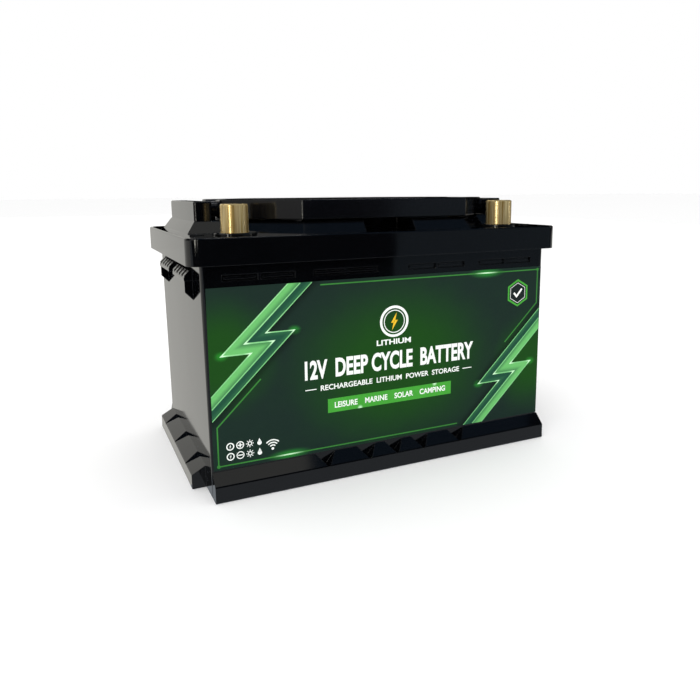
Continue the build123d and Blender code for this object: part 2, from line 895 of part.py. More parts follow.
def cord(name, points, radius):
    radii = run_radii(points)
    print(name, "arc radii", [round(value, 1) for value in radii])
    path = FilletPolyline(*points, radius=radii)
    section = Plane(origin=points[0], z_dir=Vector(*points[1]) - Vector(*points[0])) * Circle(radius)
    return sweep(section, path=path)


def lug(x, y, z, turn, bore, hanging=False):
    """Cable lug with its eye at (x, y) and plate from z up; turn 0 points the barrel along +X.

    A hanging lug carries its barrel below the plate."""
    eye_radius = lug_width / 2
    reach = eye_radius + lug_neck
    plate = rod(eye_radius, 0, 0, 0, link_thickness)
    plate += block(0, reach, -barrel_radius, barrel_radius, 0, link_thickness)
    axis = link_thickness - barrel_radius if hanging else barrel_radius
    plate += rod_x(barrel_radius, reach - 1, reach - 1 + lug_barrel_length, 0, axis)
    plate -= rod_x(cable_radius + cable_fit, reach - 1 + lug_blind, reach + lug_barrel_length, 0, axis)
    plate -= rod(bore, 0, 0, -1, link_thickness + 1)
    return Pos(x, y, z) * Rot(0, 0, turn) * plate


# where the cables start and end
barrel_radius = cable_radius + lug_wall
cable_start = lug_width / 2 + lug_neck - 1 + lug_blind
stud_barrel_z = link_level + barrel_radius
pad_barrel_z = board_top + barrel_radius
post_barrel_z = post_lug_bottom + link_thickness - barrel_radius
first_y, last_y = cell_y(0), cell_y(cell_count - 1)
pad_y = tray_center_y - board_width / 2 + lug_width / 2
negative_pad_x, output_pad_x = -14.0, -34.0
pads = ((negative_pad_x, pad_y), (output_pad_x, pad_y))

negative_route = [
    (-cell_stud_x + cable_start, first_y, stud_barrel_z),
    (-54, first_y, stud_barrel_z),
    (-34, first_y + 0.5, 144.5),
    (-20, -52.5, 149),
    (negative_pad_x, -46, 157.5),
    (negative_pad_x, -38, pad_barrel_z),
    (negative_pad_x, pad_y - cable_start, pad_barrel_z),
]
output_route = [
    (-post_x + cable_start, post_y, post_barrel_z),
    (-74, post_y, post_barrel_z),
    (-58, -57.5, 159.5),
    (-44, -51, 163),
    (-35.5, -41, pad_barrel_z),
    (output_pad_x, -33, pad_barrel_z),
    (output_pad_x, pad_y - cable_start, pad_barrel_z),
]
positive_route = [
    (-cell_stud_x + cable_start, last_y, stud_barrel_z),
    (-52, last_y, stud_barrel_z),
    (-22, 57.5, 144),
    (14, 56.5, 144.5),
    (44, 57.5, 146.5),
    (66, 59, 152),
    (83, 59, 157.5),
    (97, 52, 159),
    (104, 38, 158.5),
    (105, 16, 158),
    (104, -8, 158.4),
    (post_x, -27, post_barrel_z),
    (post_x, post_y + cable_start, post_barrel_z),
]

# ends of the thin leads
plug_y = tray_center_y + plug_offset
plug_x = [plug_first_x + index * plug_pitch for index in range(5)]
plug_z = board_top + plug_blind
plug_exit = board_top + plug_height + 2.5
landing = nut_level
lug_landing_x = -cell_stud_x + 8.0
link_landing_x = cell_stud_x - 2.0
first_link_y = (cell_y(0) + cell_y(1)) / 2
second_link_y = (cell_y(1) + cell_y(2)) / 2
third_link_y = (cell_y(2) + cell_y(3)) / 2
wire_routes = [
    [   # pack negative
        (plug_x[2], plug_y, plug_z), (plug_x[2], plug_y, plug_exit), (15, 22, 170.5), (-6, 4, 170),
        (-22, -8, 168), (-24, -22, 162.5), (-26, -34, 156.5), (-33, -44, 153), (-46, -51, 152.3),
        (-61, -54.6, 152.5), (-72, first_y, 152.5), (lug_landing_x, first_y, 150),
        (lug_landing_x, first_y, landing),
    ],
    [   # first link
        (plug_x[3], plug_y, plug_z), (plug_x[3], plug_y, plug_exit), (34, 24, 170.5), (50, 7, 170),
        (66, -13, 166), (78, -28, 158), (link_landing_x, first_link_y, 149),
        (link_landing_x, first_link_y, landing),
    ],
    [   # second link
        (plug_x[1], plug_y, plug_z), (plug_x[1], plug_y, plug_exit), (11, 27, 170.5), (-12, 18, 170.8),
        (-38, 9, 169), (-60, 4, 163), (-77, 1, 154.5), (-link_landing_x, second_link_y, 149),
        (-link_landing_x, second_link_y, landing),
    ],
    [   # third link
        (plug_x[4], plug_y, plug_z), (plug_x[4], plug_y, plug_exit), (38, 38, 170), (56, 38, 167.5),
        (73, 37.5, 159), (link_landing_x, third_link_y, 149), (link_landing_x, third_link_y, landing),
    ],
    [   # pack positive
        (plug_x[0], plug_y, plug_z), (plug_x[0], plug_y, plug_exit), (8, 40, 170.5), (-14, 43, 169),
        (-38, 46, 163), (-59, 50, 156.5), (-72, 54.5, 153), (lug_landing_x, last_y, 150),
        (lug_landing_x, last_y, landing),
    ],
]
sensor_plug_z = board_top + 1.8
sensor_route = [
    (sensor_x + sensor_size[0] / 2, sensor_y, cell_top + 1.6),
    (31, sensor_y, cell_top + 1.6),
    (37, -48.5, 142),
    (39.5, -42, 149),
    (40, -33, 156),
    (40, -23, sensor_plug_z),
    (40, tray_center_y - board_width / 2 + 3, sensor_plug_z),
]


def temperature_sensor():
    x, y, z = sensor_size
    body = Pos(sensor_x, sensor_y, cell_top + z / 2) * Box(x, y, z)
    return fillet(body.edges().filter_by(Axis.X), 0.8)


def pad_screw(x, y):
    """Screw that clamps a lug to the board."""
    seat = board_top + link_thickness
    head = hex_nut(nut_flats, 0.5, x, y, seat, seat + 4)
    return head + rod(stud_radius - 0.05, x, y, board_level - 2.5, seat + 1.5)


# ---------------------------------------------------------------- write the pieces
os.makedirs("parts", exist_ok=True)

save("container", container())
save("lid", lid())
save("lid_seal", lid_seal())
save("top_cover", top_cover())
handle = front_handle()
save("front_handle", handle)
save("rear_handle", Rot(0, 0, 180) * handle)
save("front_label", front_label())

for name, x, radius in (
    ("negative", -post_x, negative_post_radius),
    ("positive", post_x, positive_post_radius),
):
    save(f"{name}_post", terminal_post(x, radius))
    save(f"{name}_collar", terminal_collar(x, radius))
    save(f"{name}_post_seal", post_seal(x, radius))
save("post_washers", [post_washer(-post_x), post_washer(post_x)])
save("post_nuts", [
    hex_nut(post_nut_flats, shank_radius + 0.05, x, post_y, post_nut_bottom, post_lug_bottom)
    for x in (-post_x, post_x)
])

for index in range(cell_count):
    save(f"cell_{index + 1}", cell(index))
save("cell_spacers", cell_spacers())
save("front_end_plate", end_plate(-1))
save("rear_end_plate", end_plate(1))
save("lower_strap", strap(strap_levels[0]))
save("upper_strap", strap(strap_levels[1]))
save("base_pad", base_pad())
save("left_foam", end_foam(-1))
save("right_foam", end_foam(1))
save("series_link_1", series_link(cell_stud_x, 0))
save("series_link_2", series_link(-cell_stud_x, 1))
save("series_link_3", series_link(cell_stud_x, 2))
save("link_nuts", link_nuts())

save("bms_tray", bms_tray())
save("bms_heat_sink", bms_heat_sink())
save("bms_board", bms_board())
save("bms_spacers", bms_spacers())
save("bms_screws", bms_screws())
save("radio_module", radio_module())
save("balance_connector", balance_connector())

save("negative_cable", cord("negative_cable", negative_route, cable_radius))
save("output_cable", cord("output_cable", output_route, cable_radius))
save("positive_cable", cord("positive_cable", positive_route, cable_radius))
stud_bore = stud_radius + stud_clearance
post_bore = shank_radius + shank_clearance
save("negative_cable_lugs", [
    lug(-cell_stud_x, first_y, link_level, 0, stud_bore),
    lug(*pads[0], board_top, -90, stud_bore),
])
save("output_cable_lugs", [
    lug(-post_x, post_y, post_lug_bottom, 0, post_bore, hanging=True),
    lug(*pads[1], board_top, -90, stud_bore),
])
save("positive_cable_lugs", [
    lug(-cell_stud_x, last_y, link_level, 0, stud_bore),
    lug(post_x, post_y, post_lug_bottom, 90, post_bore, hanging=True),
])
save("pad_screws", [pad_screw(x, y) for x, y in pads])
for index, route in enumerate(wire_routes):
    save(f"balance_wire_{index + 1}", cord(f"balance_wire_{index + 1}", route, wire_radius))
save("temperature_sensor", temperature_sensor())
save("sensor_lead", cord("sensor_lead", sensor_route, wire_radius))
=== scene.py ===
from math import cos, pi, radians, sin

import bmesh
import bpy
from mathutils import Matrix, Vector


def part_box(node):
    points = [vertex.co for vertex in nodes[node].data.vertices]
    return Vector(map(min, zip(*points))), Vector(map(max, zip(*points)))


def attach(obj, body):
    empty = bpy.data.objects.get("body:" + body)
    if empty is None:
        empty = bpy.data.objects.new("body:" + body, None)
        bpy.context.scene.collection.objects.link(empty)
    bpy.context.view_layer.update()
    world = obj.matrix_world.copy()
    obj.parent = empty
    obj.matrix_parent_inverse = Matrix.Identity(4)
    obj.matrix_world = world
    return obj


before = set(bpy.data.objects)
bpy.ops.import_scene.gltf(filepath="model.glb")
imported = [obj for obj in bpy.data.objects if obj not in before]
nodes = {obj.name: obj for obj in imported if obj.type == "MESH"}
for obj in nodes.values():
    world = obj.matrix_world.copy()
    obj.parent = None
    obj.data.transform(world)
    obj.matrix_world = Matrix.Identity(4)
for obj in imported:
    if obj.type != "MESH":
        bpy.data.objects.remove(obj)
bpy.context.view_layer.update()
MM = 0.001
BATTERY = "battery"


# ---------------------------------------------------------------- shader building
def linear(*rgb):
    """Scene-linear colour, with alpha, of an sRGB colour given from 0 to 255."""
    values = [v / 255 for v in rgb]
    return [v / 12.92 if v <= 0.04045 else ((v + 0.055) / 1.055) ** 2.4 for v in values] + [1.0]


class Shader:
    """A material with one Principled surface, and short ways to add nodes to it."""

    def __init__(self, name, **surface):
        self.material = bpy.data.materials.new(name)
        self.material.use_nodes = True
        self.tree = self.material.node_tree
        self.tree.nodes.clear()
        self.surface = self.add("ShaderNodeBsdfPrincipled")
        output = self.add("ShaderNodeOutputMaterial")
        self.tree.links.new(self.surface.outputs[0], output.inputs["Surface"])
        self.place = self.add("ShaderNodeTexCoord").outputs["Object"]
        self.set(**surface)

    def add(self, kind, inputs=(), **settings):
        node = self.tree.nodes.new(kind)
        for key, value in settings.items():
            setattr(node, key, value)
        for key, value in dict(inputs).items():
            self.feed(node.inputs[key], value)
        return node

    def feed(self, socket, value):
        if isinstance(value, bpy.types.NodeSocket):
            self.tree.links.new(value, socket)
        else:
            socket.default_value = value

    def set(self, **values):
        for key, value in values.items():
            self.feed(self.surface.inputs[key.replace("_", " ")], value)

    def noise(self, scale, detail=2.0, rough=0.5, at=None):
        where = at or self.place
        inputs = {"Vector": where, "Scale": scale, "Detail": detail, "Roughness": rough}
        return self.add("ShaderNodeTexNoise", inputs).outputs["Fac"]

    def stretched(self, x, y, z):
        return self.add("ShaderNodeMapping", {"Vector": self.place, "Scale": (x, y, z)}).outputs[0]

    def spread(self, value, low, high, to_low, to_high, smooth=True):
        inputs = {"Value": value, "From Min": low, "From Max": high, "To Min": to_low, "To Max": to_high}
        kind = "SMOOTHSTEP" if smooth else "LINEAR"
        return self.add("ShaderNodeMapRange", inputs, interpolation_type=kind).outputs[0]

    def math(self, operation, first, second=0.0):
        return self.add("ShaderNodeMath", {0: first, 1: second}, operation=operation).outputs[0]

    def blend(self, factor, first, second, kind="MIX"):
        node = self.add("ShaderNodeMix", data_type="RGBA", blend_type=kind)
        for index, value in ((0, factor), (6, first), (7, second)):
            self.feed(node.inputs[index], value)
        return node.outputs[2]

    def axes(self, at=None):
        return self.add("ShaderNodeSeparateXYZ", {0: at or self.place}).outputs

    def distance(self, x, y, stretch=1.0):
        """Distance in the piece's XY plane from a point, in metres; stretch widens it along X."""
        flat = self.add("ShaderNodeMapping", {
            "Vector": self.place, "Location": (-x / stretch, -y, 0), "Scale": (1 / stretch, 1, 0),
        }).outputs[0]
        return self.add("ShaderNodeVectorMath", {0: flat}, operation="LENGTH").outputs["Value"]

    def bump(self, height, strength, depth, normal=None):
        inputs = {"Height": height, "Strength": strength, "Distance": depth}
        if normal:
            inputs["Normal"] = normal
        return self.add("ShaderNodeBump", inputs).outputs[0]


# ---------------------------------------------------------------- materials
def glossy_moulding(name, dark, light, sheen=(0.04, 0.09), painted_edge_highlight=(0.022, 0.023, 0.024, 1)):
    """Polished injection-moulded plastic: orange peel, slow waviness, fine scuffs, and a painted highlight
    that makes every edge paler.
    """
    shader = Shader(name, IOR=1.5)
    cloud = shader.noise(35, 4, 0.6)
    soft = shader.add("ShaderNodeBevel", {"Radius": 0.4 * MM}, samples=4).outputs[0]
    flat = shader.add("ShaderNodeNewGeometry").outputs["Normal"]
    turn = shader.add("ShaderNodeVectorMath", {0: soft, 1: flat}, operation="DOT_PRODUCT").outputs["Value"]
    # painted highlight: where the bevel normal turns away from the surface normal, at the edges, the base
    # colour is made paler
    edges = shader.spread(turn, 0.97, 0.80, 0.0, 1.0)
    body = shader.blend(cloud, dark, light)
    shader.set(Base_Color=shader.blend(edges, body, painted_edge_highlight))
    scuffs = shader.noise(900, 3, 0.7, shader.stretched(1, 0.12, 0.3))
    fine = shader.spread(scuffs, 0.55, 0.75, 0.0, 0.05)
    worn = shader.spread(shader.noise(18, 3), 0.3, 0.7, sheen[0], sheen[1])
    shader.set(Roughness=shader.math("ADD", worn, fine))
    wavy = shader.bump(shader.noise(28, 1), 0.3, 0.2 * MM, soft)
    shader.set(Normal=shader.bump(shader.noise(1100, 2), 0.15, 0.006 * MM, wavy))
    return shader.material


def turned_brass(name):
    """Satin brass: streaks down the post over faint tool rings."""
    shader = Shader(name, Metallic=0.72)
    streaks = shader.noise(1, 3, 0.6, shader.stretched(620, 620, 14))
    tone = shader.spread(streaks, 0.35, 0.65, 0.0, 1.0)
    facing_up = shader.axes(shader.add("ShaderNodeNewGeometry").outputs["Normal"])[2]
    on_top = shader.spread(facing_up, 0.4, 0.8, 0.0, 1.0)
    even = shader.math("MULTIPLY", on_top, 0.6)
    tone = shader.math("ADD", shader.math("MULTIPLY", tone, shader.math("SUBTRACT", 1.0, on_top)), even)
    shader.set(Base_Color=shader.blend(tone, (0.50, 0.33, 0.10, 1), (0.95, 0.76, 0.40, 1)))
    rings = shader.noise(1, 2, 0.6, shader.stretched(30, 30, 2600))
    shader.set(Roughness=shader.spread(rings, 0.3, 0.7, 0.20, 0.26))
    shader.set(Normal=shader.bump(rings, 0.02, 0.01 * MM))
    return shader.material


def drawn_metal(name, dark, light, rough=(0.25, 0.42), grain=(1, 40, 1)):
    """Rolled or plated metal with grain along one direction."""
    shader = Shader(name, Metallic=1.0)
    streaks = shader.noise(90, 4, 0.65, shader.stretched(*grain))
    shader.set(Base_Color=shader.blend(streaks, dark, light))
    shader.set(Roughness=shader.spread(streaks, 0.25, 0.75, rough[0], rough[1]))
    shader.set(Normal=shader.bump(shader.noise(1500, 2), 0.2, 0.02 * MM))
    return shader.material


def grained(name, dark, light, rough, scale, depth):
    """Matt moulded plastic, rubber or film with a fine grain."""
    shader = Shader(name, IOR=1.48)
    grain = shader.noise(scale, 3, 0.6)
    shader.set(Base_Color=shader.blend(shader.noise(55, 3), dark, light))
    shader.set(Roughness=shader.spread(grain, 0.3, 0.7, rough - 0.07, rough + 0.07))
    shader.set(Normal=shader.bump(grain, 0.4, depth * MM))
    return shader.material


def cellular_foam(name):
    shader = Shader(name, IOR=1.45)
    cells = shader.add("ShaderNodeTexVoronoi", {"Vector": shader.place, "Scale": 700.0}).outputs["Distance"]
    shader.set(Base_Color=shader.blend(cells, (0.012, 0.012, 0.013, 1), (0.055, 0.055, 0.058, 1)))
    shader.set(Roughness=shader.spread(cells, 0.0, 0.8, 0.75, 0.95))
    shader.set(Normal=shader.bump(cells, 0.8, 0.25 * MM))
    return shader.material


def circuit_board(name):
    """Green solder mask over a pattern of copper areas."""
    shader = Shader(name, IOR=1.5)
    areas = shader.add("ShaderNodeTexVoronoi", {"Vector": shader.place, "Scale": 160.0},
                       distance="CHEBYCHEV").outputs["Distance"]
    copper = shader.spread(areas, 0.28, 0.31, 0.0, 1.0)
    shader.set(Base_Color=shader.blend(copper, (0.015, 0.11, 0.045, 1), (0.03, 0.19, 0.08, 1)))
    shader.set(Roughness=shader.spread(shader.noise(300), 0.3, 0.7, 0.22, 0.38))
    shader.set(Normal=shader.bump(copper, 0.4, 0.04 * MM))
    return shader.material


black_plastic = glossy_moulding("black_plastic", (0.0008, 0.0009, 0.0013, 1), (0.0018, 0.0021, 0.0028, 1))
handle_plastic = glossy_moulding(
    "handle_plastic", (0.0016, 0.0018, 0.0026, 1), (0.0032, 0.0035, 0.0046, 1), sheen=(0.08, 0.15))
collar_plastic = glossy_moulding("collar_plastic", (0.003, 0.003, 0.003, 1), (0.007, 0.007, 0.007, 1))
brass = turned_brass("turned_brass")
steel = drawn_metal("zinc_plate", (0.50, 0.50, 0.52, 1), (0.72, 0.72, 0.74, 1))
tinned = drawn_metal("tinned_copper", (0.62, 0.61, 0.58, 1), (0.84, 0.83, 0.80, 1))
nickel = drawn_metal("nickel_plate", (0.66, 0.64, 0.60, 1), (0.86, 0.84, 0.80, 1), grain=(30, 1, 1))
anodised = drawn_metal("anodised_aluminium", (0.60, 0.61, 0.62, 1), (0.80, 0.81, 0.82, 1), grain=(1, 60, 1))
cell_film = grained("cell_film", (0.035, 0.11, 0.32, 1), (0.06, 0.16, 0.42, 1), 0.32, 500, 0.03)
epoxy_sheet = grained("epoxy_sheet", (0.50, 0.56, 0.30, 1), (0.62, 0.68, 0.40, 1), 0.45, 1600, 0.03)
rubber = grained("black_rubber", (0.010, 0.010, 0.011, 1), (0.022, 0.022, 0.024, 1), 0.62, 1300, 0.04)
tray_plastic = grained("tray_plastic", (0.03, 0.03, 0.033, 1), (0.05, 0.05, 0.055, 1), 0.5, 1200, 0.04)
nylon = grained("natural_nylon", (0.62, 0.60, 0.52, 1), (0.76, 0.74, 0.66, 1), 0.42, 900, 0.02)
red_jacket = grained("red_jacket", (0.36, 0.008, 0.006, 1), (0.52, 0.02, 0.012, 1), 0.42, 1100, 0.03)
black_jacket = grained("black_jacket", (0.008, 0.008, 0.009, 1), (0.018, 0.018, 0.02, 1), 0.42, 1100, 0.03)
white_jacket = grained("white_jacket", (0.60, 0.60, 0.58, 1), (0.74, 0.74, 0.71, 1), 0.40, 1100, 0.03)

LOOKS = {
    black_plastic: ("container", "lid", "top_cover"),
    handle_plastic: ("front_handle", "rear_handle"),
    collar_plastic: ("negative_collar", "positive_collar"),
    brass: ("negative_post", "positive_post"),
    rubber: ("negative_post_seal", "positive_post_seal", "lid_seal"),
    cell_film: ("cell_1", "cell_2", "cell_3", "cell_4"),
    epoxy_sheet: ("cell_spacers", "front_end_plate", "rear_end_plate"),
    cellular_foam("closed_cell_foam"): ("base_pad", "left_foam", "right_foam"),
    steel: ("lower_strap", "upper_strap", "link_nuts", "post_nuts", "post_washers", "bms_screws",
            "bms_spacers", "pad_screws"),
    nickel: ("series_link_1", "series_link_2", "series_link_3"),
    tinned: ("negative_cable_lugs", "output_cable_lugs", "positive_cable_lugs", "radio_module"),
    anodised: ("bms_heat_sink",),
    tray_plastic: ("bms_tray",),
    circuit_board("circuit_board"): ("bms_board",),
    nylon: ("balance_connector",),
    red_jacket: ("positive_cable", "balance_wire_5"),
    black_jacket: ("negative_cable", "output_cable", "balance_wire_1", "temperature_sensor", "sensor_lead"),
    white_jacket: ("balance_wire_2", "balance_wire_3", "balance_wire_4"),
}


def dress(name, material):
    piece = nodes[name]
    if not piece.material_slots:
        piece.data.materials.append(material)
    for spot in piece.material_slots:
        spot.material = material


for material, names in LOOKS.items():
    for name in names:
        dress(name, material)


# ---------------------------------------------------------------- the printed label
# Art is laid out in millimetres: u along the length, v up from the floor, then set on the label's face.
label_low, label_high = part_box("front_label")
DRAFT = radians(0.5)
LABEL_TOP = label_high.z / MM
LABEL_BOTTOM = label_low.z / MM
LABEL_HALF = label_high.x / MM
MIDDLE = (LABEL_TOP + LABEL_BOTTOM) / 2
label_face = Matrix((
    (1, 0, 0, 0),
    (0, -sin(DRAFT), -cos(DRAFT), label_low.y),
    (0, cos(DRAFT), -sin(DRAFT), label_high.z),
    (0, 0, 0, 1),
))
EDGE = LABEL_HALF - 0.3          # how far bands run towards the label's edge
UPPER = LABEL_TOP - 0.15

# the zigzag's three edges, each as its crossing of the top edge and the height of its step
ZIGZAG = ((76.2, 93.6), (67.8, 100.2), (59.8, 106.0))
STEP = 19.0
SLANT = 1.03                     # run of the slanting lines for each millimetre of rise
BANDS_WIDTH = 16.4               # of the light and teal bands together, along the label
SHADOW_REACH = 9                 # of the shadow beside the bands
SHADOW_DEPTH = 0.62
line_green = linear(64, 140, 62)


def turned(points):
    """The same outline turned half round about the label's middle."""
    return [(-u, 2 * MIDDLE - v) for u, v in points]


def zigzag(index):
    """One edge of the zigzag, from the label's top edge to its left edge."""
    top, step_height = ZIGZAG[index]
    outer = top + SLANT * (UPPER - step_height)
    inner = outer - STEP
    end_height = step_height - (EDGE - inner) / SLANT
    return [(-top, UPPER), (-outer, step_height), (-inner, step_height), (-EDGE, end_height)]


TIPS = [zigzag(index)[corner] for index in range(3) for corner in (1, 2)]
# places where the print shines: (u, v, reach, stretch along the label)
GLOWS = [(-78, 21.5, 4.5, 4.0), (78, 134.5, 4.5, 4.0)]
for tip in (TIPS[0], TIPS[5]):
    GLOWS += [(*place, 4.0, 1.4) for place in (tip, (-tip[0], 2 * MIDDLE - tip[1]))]


def label_print(name):
    """Printed film: green pools of light on dark teal, and shadows along the zigzags."""
    shader = Shader(name, IOR=1.45, Specular_IOR_Level=0.12)
    x, _, z = shader.axes()
    down = shader.math("SUBTRACT", z, LABEL_TOP * MM)
    shader.place = shader.add("ShaderNodeCombineXYZ", {"X": x, "Y": down}).outputs[0]

    def local(u, v):
        return u * MM, (v - LABEL_TOP) * MM

    pools = None
    for u, v, reach, stretch in ((4, 74, 72, 1.35), (-122, 93, 46, 1.0), (122, 2 * MIDDLE - 93, 46, 1.0)):
        away = shader.distance(*local(u, v), stretch)
        pool = shader.spread(away, 0.25 * reach * MM, reach * MM, 1.0, 0.0)
        pools = pool if pools is None else shader.math("MAXIMUM", pools, pool)
    mottled = shader.math("ADD", pools, shader.spread(shader.noise(60, 3), 0.2, 0.8, -0.05, 0.05))
    ground = shader.blend(mottled, linear(25, 45, 38), linear(24, 72, 20))
    for u, v, reach, stretch in GLOWS:
        away = shader.distance(*local(u, v), stretch)
        ground = shader.blend(shader.spread(away, 0.0, reach * MM, 0.40, 0.0), ground, linear(52, 190, 60))
    u, v, _ = shader.axes()
    height = shader.math("ADD", v, LABEL_TOP * MM)
    inner_top, inner_step = ZIGZAG[-1]
    shade = None
    for side in (1, -1):
        along = u if side > 0 else shader.math("MULTIPLY", u, -1.0)
        up = height if side > 0 else shader.math("SUBTRACT", 2 * MIDDLE * MM, height)
        above = shader.math("GREATER_THAN", up, inner_step * MM)
        shift = shader.math("MULTIPLY_ADD", above, STEP * MM)
        shader.feed(shift.node.inputs[2], (inner_top + SLANT * UPPER - STEP) * MM)
        slanting = shader.math("MULTIPLY", up, SLANT)
        gap = shader.math("ADD", shader.math("SUBTRACT", along, slanting), shift)
        beyond = shader.spread(gap, -BANDS_WIDTH * MM, (1 - BANDS_WIDTH) * MM, 0.0, 1.0)
        dark = shader.math("MULTIPLY", shader.spread(gap, 0.0, SHADOW_REACH * MM, SHADOW_DEPTH, 0.0), beyond)
        shade = dark if shade is None else shader.math("MAXIMUM", shade, dark)
    shader.set(Base_Color=shader.blend(shade, ground, linear(10, 22, 18)))
    film = shader.noise(420, 3, 0.6)
    shader.set(Roughness=shader.spread(film, 0.3, 0.7, 0.55, 0.65))
    shader.set(Normal=shader.bump(film, 0.2, 0.02 * MM))
    return shader.material


def ink(name, pale, deep, glints=(), across=False):
    """Printing ink that runs from one colour to another, with brighter places at points (u, v, reach).

    With across, the colour follows the piece's map across a band, and not its place on the label."""
    shader = Shader(name, IOR=1.45, Specular_IOR_Level=0.12)
    u, v, _ = shader.axes()
    along = shader.math("SUBTRACT", v, u)
    swell = shader.spread(shader.noise(26, 1, 0.5), 0.3, 0.7, 0.0, 0.3)
    tone = shader.math("ADD", shader.spread(along, 0.02, 0.12, 0.0, 0.7), swell)
    if across:
        side = shader.axes(shader.add("ShaderNodeUVMap", uv_map="across").outputs[0])
        tone = shader.spread(side[1], 0.35, 1.0, 0.0, 1.0)
    colour = shader.blend(tone, pale, deep)
    for gu, gv, reach in glints:
        away = shader.distance(gu * MM, (gv - LABEL_TOP) * MM)
        colour = shader.blend(shader.spread(away, 0.0, reach * MM, 0.85, 0.0), colour, linear(214, 255, 214))
    shader.set(Base_Color=colour)
    shader.set(Roughness=shader.spread(shader.noise(500), 0.3, 0.7, 0.50, 0.60))
    return shader.material


def set_on_label(piece, material):
    """Lay a piece of art on the label's face and let it ride with the battery."""
    bpy.context.scene.collection.objects.link(piece)
    piece.matrix_world = label_face
    if not piece.data.materials:
        piece.data.materials.append(material)
    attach(piece, BATTERY)
    return piece


def printed(name, outlines, material, lift):
    """Thin layer of ink over outlines in (u, v), which stands up from the label by lift."""
    mesh = bmesh.new()
    for outline in outlines:
        low = [mesh.verts.new((u * MM, (v - LABEL_TOP) * MM, 0.0)) for u, v in outline]
        high = [mesh.verts.new((u * MM, (v - LABEL_TOP) * MM, lift * MM)) for u, v in outline]
        mesh.faces.new(high)
        mesh.faces.new(low[::-1])
        for i in range(len(low)):
            j = (i + 1) % len(low)
            mesh.faces.new((low[i], low[j], high[j], high[i]))
    bmesh.ops.recalc_face_normals(mesh, faces=mesh.faces)
    data = bpy.data.meshes.new(name)
    mesh.to_mesh(data)
    mesh.free()
    return set_on_label(bpy.data.objects.new(name, data), material)


def stroke(points, width, closed=False):
    """Quads that follow a line in (u, v), mitred at its corners."""
    count = len(points)
    sides = []
    for i in range(count):
        here = Vector(points[i])
        before = Vector(points[i - 1]) if closed or i > 0 else None
        after = Vector(points[(i + 1) % count]) if closed or i < count - 1 else None
        first = (here - before).normalized() if before is not None else (after - here).normalized()
        second = (after - here).normalized() if after is not None else first
        normal = Vector((-first.y - second.y, first.x + second.x)).normalized()
        reach = width / 2 / max(normal.dot(Vector((-first.y, first.x))), 0.35)
        sides.append((here + normal * reach, here - normal * reach))
    last = count if closed else count - 1
    quads = []
    for i in range(last):
        (a, b), (c, d) = sides[i], sides[(i + 1) % count]
        quads.append([tuple(a), tuple(b), tuple(d), tuple(c)])
    return quads


def circle(u, v, radius, count=40, start=0.0):
    steps = [start + 2 * pi * i / count for i in range(count)]
    return [(u + radius * cos(a), v + radius * sin(a)) for a in steps]


def lettering(name, text, left, right, baseline, height, material, weight, lift=0.05):
    """Plain words fitted between two places along the label."""
    font = bpy.data.curves.new(name, "FONT")
    font.body = text
    font.size = height * MM * 1.42
    font.offset = weight * MM
    font.extrude = lift * MM / 2
    font.resolution_u = 4
    letters = bpy.data.objects.new(name, font)
    bpy.context.scene.collection.objects.link(letters)
    bpy.context.view_layer.update()
    depsgraph = bpy.context.evaluated_depsgraph_get()
    mesh = bpy.data.meshes.new_from_object(letters.evaluated_get(depsgraph))
    bpy.data.objects.remove(letters)
    xs = [vertex.co.x for vertex in mesh.vertices]
    stretch = (right - left) * MM / (max(xs) - min(xs))
    shift = left * MM - min(xs) * stretch
    mesh.transform(Matrix.Translation((shift, (baseline - LABEL_TOP) * MM, lift * MM / 2)) @
                   Matrix.Diagonal((stretch, 1, 1, 1)))
    mesh.materials.clear()
    mesh.name = name
    return set_on_label(bpy.data.objects.new(name, mesh), material)


white_ink = ink("white_ink", linear(238, 244, 238), linear(255, 255, 255))
tip_glints = [(u, v, 5) for u, v in TIPS] + [(-u, 2 * MIDDLE - v, 5) for u, v in TIPS]
light_band = ink("light_green_ink", linear(104, 184, 104), linear(70, 132, 80), across=True)
teal_band = ink("teal_ink", linear(30, 78, 58), linear(44, 100, 66), across=True)
edge_ink = ink("pale_line_ink", linear(110, 190, 116), linear(160, 224, 160), tip_glints)
border_ink = ink("border_ink", linear(52, 120, 50), line_green, [(-78, 21.5, 12), (78, 134.5, 12)])
banner_ink = ink("banner_ink", linear(66, 158, 54), linear(74, 166, 60), [(-26, 46.0, 2.5), (34, 55.5, 2.5)])
yellow_ink = ink("yellow_ink", linear(232, 184, 40), linear(250, 208, 60))
dark_ink = ink("dark_ink", linear(24, 34, 34), linear(34, 46, 46))

dress("front_label", label_print("label_film"))

edges = [zigzag(0), zigzag(1), zigzag(2)]


def halves(shape):
    return [shape, turned(shape)]


def band_parts(first, second):
    """The band in convex lengths, so that each face is flat and simple."""
    a, b, c, d = first
    e, f, g, h = second
    return [[a, b, f, e], [b, c, g, f], [c, d, h, g]]


def lay_bands(name, first, second, material):
    """Both bands between two zigzag edges, with a map that runs across them from 0 to 1."""
    shapes = [shape for part in band_parts(first, second) for shape in halves(part)]
    piece = printed(name, shapes, material, 0.03)
    start = {(round(u, 3), round(v, 3)) for u, v in first + turned(first)}
    across = piece.data.uv_layers.new(name="across")
    for loop in piece.data.loops:
        corner = piece.data.vertices[loop.vertex_index].co
        here = (round(corner.x / MM, 3), round(corner.y / MM + LABEL_TOP, 3))
        across.data[loop.index].uv = (0.0, 0.0 if here in start else 1.0)


lay_bands("light_bands", edges[0], edges[1], light_band)
lay_bands("teal_bands", edges[1], edges[2], teal_band)
outline_strokes = []
for edge, thickness in zip(edges, (0.9, 0.9, 0.7)):
    for quad in stroke(edge, thickness):
        clipped = [(max(-EDGE, min(EDGE, u)), min(UPPER, v)) for u, v in quad]
        outline_strokes += halves(clipped)
printed("band_outlines", outline_strokes, edge_ink, 0.045)

